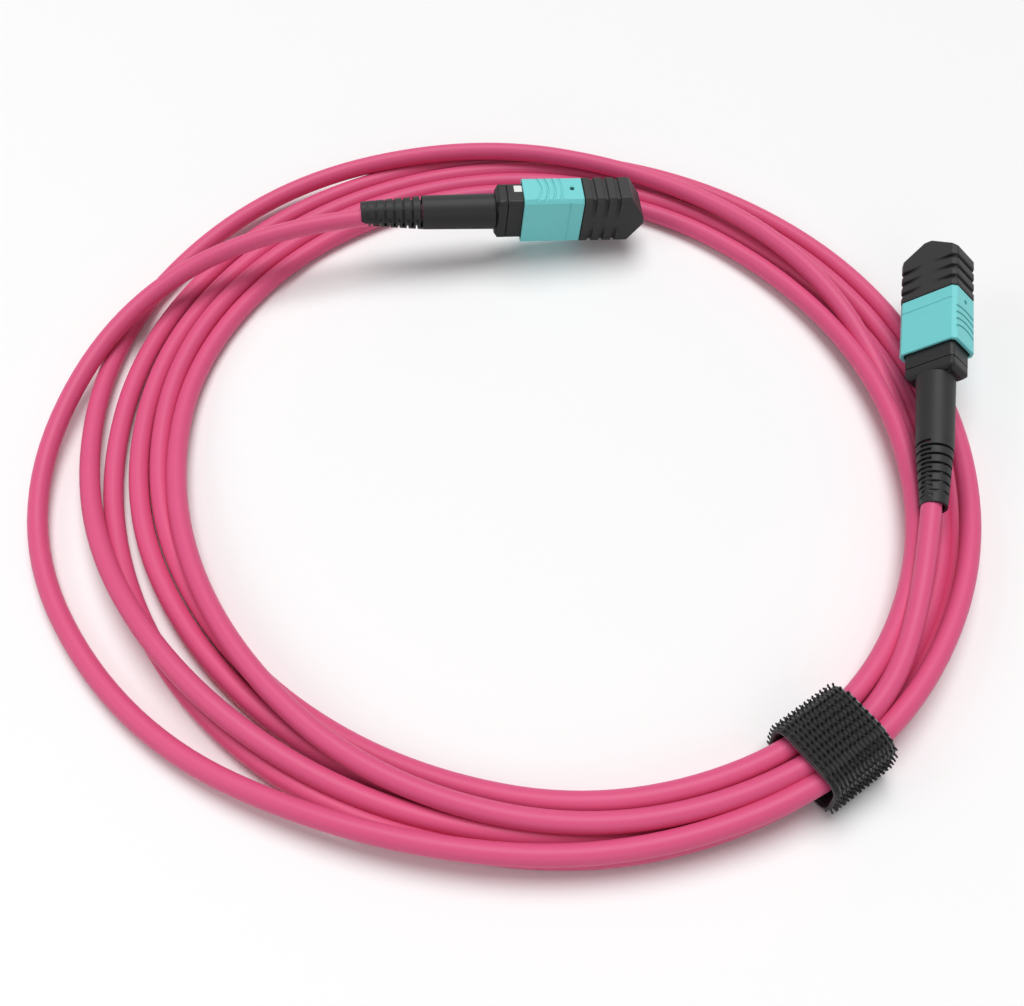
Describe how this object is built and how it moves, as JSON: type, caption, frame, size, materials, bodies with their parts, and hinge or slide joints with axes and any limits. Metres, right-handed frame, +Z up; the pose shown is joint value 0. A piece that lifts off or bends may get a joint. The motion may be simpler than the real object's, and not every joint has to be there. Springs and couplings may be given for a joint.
{
  "type": "multi-fibre patch cable",
  "caption": "Coiled round fibre patch cable with a push-on multi-fibre plug and dust cap at each end, held by a hook-and-loop tie.",
  "frame": {"origin": "middle of the coil, on the surface that it lies on", "axes": "+Z up, +X to the right and +Y away in the picture's view"},
  "size_m": [0.1855, 0.1715, 0.0218],
  "materials": {
    "jacket": "satin extruded jacket",
    "tie": "woven hook-and-loop strap",
    "boot": "soft moulded boot",
    "crimp_metal": "plated",
    "yarn": "aramid yarn",
    "plug_body": "moulded",
    "spring_steel": "drawn wire",
    "sleeve": "satin moulded",
    "spacer": "stamped",
    "ferrule": "glass-filled polymer, polished end",
    "soft_sleeve": "soft",
    "ribbon": "coated fibre ribbon",
    "cap": "moulded"
  },
  "bodies": {
    "root": {"cable": "jacket", "hook_and_loop_tie": "tie", "first_strain_relief_boot": "boot", "first_crimp_ring": "crimp_metal", "first_yarn_sleeve": "yarn", "first_back_post": "plug_body", "first_inner_housing": "plug_body", "first_coupling_spring_left": "spring_steel", "first_coupling_spring_right": "spring_steel", "first_ferrule_spring": "spring_steel", "first_fibre_ribbon": "ribbon", "second_strain_relief_boot": "boot", "second_crimp_ring": "crimp_metal", "second_yarn_sleeve": "yarn", "second_back_post": "plug_body", "second_inner_housing": "plug_body", "second_coupling_spring_left": "spring_steel", "second_coupling_spring_right": "spring_steel", "second_ferrule_spring": "spring_steel", "second_fibre_ribbon": "ribbon"},
    "first_sleeve": {"first_coupling_sleeve": "sleeve"},
    "first_cap": {"first_dust_cap": "cap"},
    "first_ferrule_set": {"first_ferrule": "ferrule", "first_ferrule_spacer": "spacer", "first_ribbon_sleeve": "soft_sleeve"},
    "second_sleeve": {"second_coupling_sleeve": "sleeve"},
    "second_cap": {"second_dust_cap": "cap"},
    "second_ferrule_set": {"second_ferrule": "ferrule", "second_ferrule_spacer": "spacer", "second_ribbon_sleeve": "soft_sleeve"}
  },
  "joints": [
    {"name": "first_sleeve_slide", "type": "slide", "parent": "root", "child": "first_sleeve", "axis": [-0.99, -0.1163, 0.0802], "range_m": [0, 0.0018], "stiffness_N_per_m": 1500, "deforming": ["first_coupling_spring_left", "first_coupling_spring_right"]},
    {"name": "first_cap_pull", "type": "slide", "parent": "root", "child": "first_cap", "axis": [0.99, 0.1163, -0.0802], "range_m": [0, 0.0063]},
    {"name": "first_ferrule_float", "type": "slide", "parent": "root", "child": "first_ferrule_set", "axis": [-0.99, -0.1163, 0.0802], "range_m": [0, 0.0007], "stiffness_N_per_m": 1000, "deforming": ["first_ferrule_spring", "first_fibre_ribbon"]},
    {"name": "second_sleeve_slide", "type": "slide", "parent": "root", "child": "second_sleeve", "axis": [-0.1693, -0.9804, -0.1011], "range_m": [0, 0.0018], "stiffness_N_per_m": 1500, "deforming": ["second_coupling_spring_left", "second_coupling_spring_right"]},
    {"name": "second_cap_pull", "type": "slide", "parent": "root", "child": "second_cap", "axis": [0.1693, 0.9804, 0.1011], "range_m": [0, 0.0063]},
    {"name": "second_ferrule_float", "type": "slide", "parent": "root", "child": "second_ferrule_set", "axis": [-0.1693, -0.9804, -0.1011], "range_m": [0, 0.0007], "stiffness_N_per_m": 1000, "deforming": ["second_ferrule_spring", "second_fibre_ribbon"]}
  ]
}
